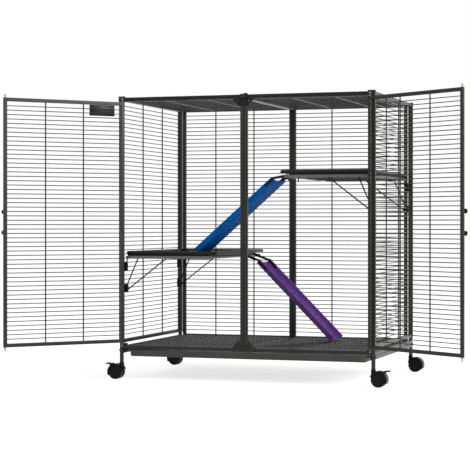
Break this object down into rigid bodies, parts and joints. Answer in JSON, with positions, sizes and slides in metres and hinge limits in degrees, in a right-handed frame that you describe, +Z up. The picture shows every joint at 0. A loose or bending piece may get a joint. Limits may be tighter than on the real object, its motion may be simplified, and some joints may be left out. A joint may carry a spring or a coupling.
{
  "type": "ferret cage",
  "caption": "Tall wire pet cage on swivel casters with sprung double doors, pull-out pan, floor grates, shelves with trays and hooked ramps",
  "frame": {"origin": "on the floor under the middle of the cage, between the four legs", "axes": "+X runs to the right along the front, +Y runs from the doors to the back, +Z is up"},
  "size_m": [1.5554, 0.9562, 0.9869],
  "materials": {
    "frame_paint": "charcoal powder coat, slightly glossy",
    "black_fittings": "black moulded plastic",
    "black_steel": "black coated steel",
    "black_knobs": "black knob",
    "bright_steel": "zinc plated",
    "pan_plastic": "dark olive grey",
    "tray_plastic": "dark grey moulding",
    "door_plate": "bare dark plate",
    "blue_plastic": "blue moulding",
    "purple_plastic": "purple moulding",
    "caster_plastic": "black moulding",
    "wheel_plastic": "black wheel"
  },
  "bodies": {
    "cage_frame": {"left_side_panel": "frame_paint", "right_side_panel": "frame_paint", "left_back_panel": "frame_paint", "right_back_panel": "frame_paint", "left_top_panel": "frame_paint", "right_top_panel": "frame_paint", "front_top_rail": "frame_paint", "centre_post": "frame_paint", "base_frame": "frame_paint", "left_pan_runner": "frame_paint", "right_pan_runner": "frame_paint", "left_floor_grate": "frame_paint", "right_floor_grate": "frame_paint", "lower_shelf_frame": "frame_paint", "upper_shelf_frame": "frame_paint", "top_centre_bracket": "black_fittings", "bottom_centre_bracket": "black_fittings", "hinge_brackets": "black_fittings", "post_caps": "black_fittings", "lower_shelf_clips": "black_fittings", "upper_shelf_clips": "black_fittings", "frame_screws": "black_steel", "lower_shelf_rods": "black_steel", "upper_shelf_rods": "black_steel", "lower_shelf_tray": "tray_plastic", "upper_shelf_tray": "tray_plastic"},
    "floor_pan": {"floor_pan": "pan_plastic"},
    "left_door": {"left_door_panel": "frame_paint", "left_hinge_pins": "bright_steel", "left_door_plate": "door_plate", "left_latch_spring": "bright_steel"},
    "right_door": {"right_door_panel": "frame_paint", "right_hinge_pins": "bright_steel", "right_latch_spring": "bright_steel"},
    "blue_ramp": {"blue_ramp": "blue_plastic", "blue_ramp_hooks": "black_steel"},
    "purple_ramp": {"purple_ramp": "purple_plastic", "purple_ramp_hooks": "black_steel"},
    "left_upper_latch": {"left_upper_latch_rod": "bright_steel", "left_upper_latch_knob": "black_knobs"},
    "left_lower_latch": {"left_lower_latch_rod": "bright_steel", "left_lower_latch_knob": "black_knobs"},
    "right_upper_latch": {"right_upper_latch_rod": "bright_steel", "right_upper_latch_knob": "black_knobs"},
    "right_lower_latch": {"right_lower_latch_rod": "bright_steel", "right_lower_latch_knob": "black_knobs"},
    "front_left_caster": {"front_left_caster_fork": "caster_plastic"},
    "front_left_wheels": {"front_left_caster_wheels": "wheel_plastic"},
    "front_right_caster": {"front_right_caster_fork": "caster_plastic"},
    "front_right_wheels": {"front_right_caster_wheels": "wheel_plastic"},
    "rear_left_caster": {"rear_left_caster_fork": "caster_plastic"},
    "rear_left_wheels": {"rear_left_caster_wheels": "wheel_plastic"},
    "rear_right_caster": {"rear_right_caster_fork": "caster_plastic"},
    "rear_right_wheels": {"rear_right_caster_wheels": "wheel_plastic"},
    "front_left_brake": {"front_left_brake_lever": "caster_plastic"},
    "front_right_brake": {"front_right_brake_lever": "caster_plastic"}
  },
  "joints": [
    {"name": "left_door_hinge", "type": "hinge", "parent": "cage_frame", "child": "left_door", "pos_m": [-0.441, -0.3115, 0.545], "axis": [0, 0, 1], "range_deg": [-48.3, 131.7]},
    {"name": "right_door_hinge", "type": "hinge", "parent": "cage_frame", "child": "right_door", "pos_m": [0.441, -0.3115, 0.545], "axis": [0, 0, 1], "range_deg": [-144.3, 35.7]},
    {"name": "left_upper_latch_slide", "type": "slide", "parent": "left_door", "child": "left_upper_latch", "axis": [0, 0, -1], "range_m": [0, 0.0122], "stiffness_N_per_m": 300, "springref_m": -0.01, "deforming": ["left_latch_spring"]},
    {"name": "left_lower_latch_slide", "type": "slide", "parent": "left_door", "child": "left_lower_latch", "axis": [0, 0, 1], "range_m": [0, 0.0122], "stiffness_N_per_m": 300, "springref_m": -0.01},
    {"name": "right_upper_latch_slide", "type": "slide", "parent": "right_door", "child": "right_upper_latch", "axis": [0, 0, -1], "range_m": [0, 0.0122], "stiffness_N_per_m": 300, "springref_m": -0.01, "deforming": ["right_latch_spring"]},
    {"name": "right_lower_latch_slide", "type": "slide", "parent": "right_door", "child": "right_lower_latch", "axis": [0, 0, 1], "range_m": [0, 0.0122], "stiffness_N_per_m": 300, "springref_m": -0.01},
    {"name": "pan_slide", "type": "slide", "parent": "cage_frame", "child": "floor_pan", "axis": [0, -1, 0], "range_m": [0, 0.5]},
    {"name": "purple_ramp_lift", "type": "hinge", "parent": "cage_frame", "child": "purple_ramp", "pos_m": [-0.122, 0.14, 0.424], "axis": [0, -1, 0], "range_deg": [0, 22]},
    {"name": "blue_ramp_lift", "type": "hinge", "parent": "cage_frame", "child": "blue_ramp", "pos_m": [0.139, -0.036, 0.701], "axis": [0, 1, 0], "range_deg": [0, 18]},
    {"name": "front_left_caster_swivel", "type": "hinge", "parent": "cage_frame", "child": "front_left_caster", "pos_m": [-0.449, -0.295, 0.059], "axis": [0, 0, 1], "continuous": true},
    {"name": "front_left_wheel_spin", "type": "hinge", "parent": "front_left_caster", "child": "front_left_wheels", "pos_m": [-0.468, -0.295, 0.025], "axis": [0, 1, 0], "continuous": true},
    {"name": "front_right_caster_swivel", "type": "hinge", "parent": "cage_frame", "child": "front_right_caster", "pos_m": [0.449, -0.295, 0.059], "axis": [0, 0, 1], "continuous": true},
    {"name": "front_right_wheel_spin", "type": "hinge", "parent": "front_right_caster", "child": "front_right_wheels", "pos_m": [0.468, -0.295, 0.025], "axis": [0, 1, 0], "continuous": true},
    {"name": "rear_left_caster_swivel", "type": "hinge", "parent": "cage_frame", "child": "rear_left_caster", "pos_m": [-0.449, 0.295, 0.059], "axis": [0, 0, 1], "continuous": true},
    {"name": "rear_left_wheel_spin", "type": "hinge", "parent": "rear_left_caster", "child": "rear_left_wheels", "pos_m": [-0.468, 0.295, 0.025], "axis": [0, 1, 0], "continuous": true},
    {"name": "rear_right_caster_swivel", "type": "hinge", "parent": "cage_frame", "child": "rear_right_caster", "pos_m": [0.449, 0.295, 0.059], "axis": [0, 0, 1], "continuous": true},
    {"name": "rear_right_wheel_spin", "type": "hinge", "parent": "rear_right_caster", "child": "rear_right_wheels", "pos_m": [0.468, 0.295, 0.025], "axis": [0, 1, 0], "continuous": true},
    {"name": "front_left_brake_press", "type": "hinge", "parent": "front_left_caster", "child": "front_left_brake", "pos_m": [-0.48721, -0.295, 0.05244], "axis": [0, -1, 0], "range_deg": [0, 10]},
    {"name": "front_right_brake_press", "type": "hinge", "parent": "front_right_caster", "child": "front_right_brake", "pos_m": [0.48721, -0.295, 0.05244], "axis": [0, 1, 0], "range_deg": [0, 10]}
  ]
}
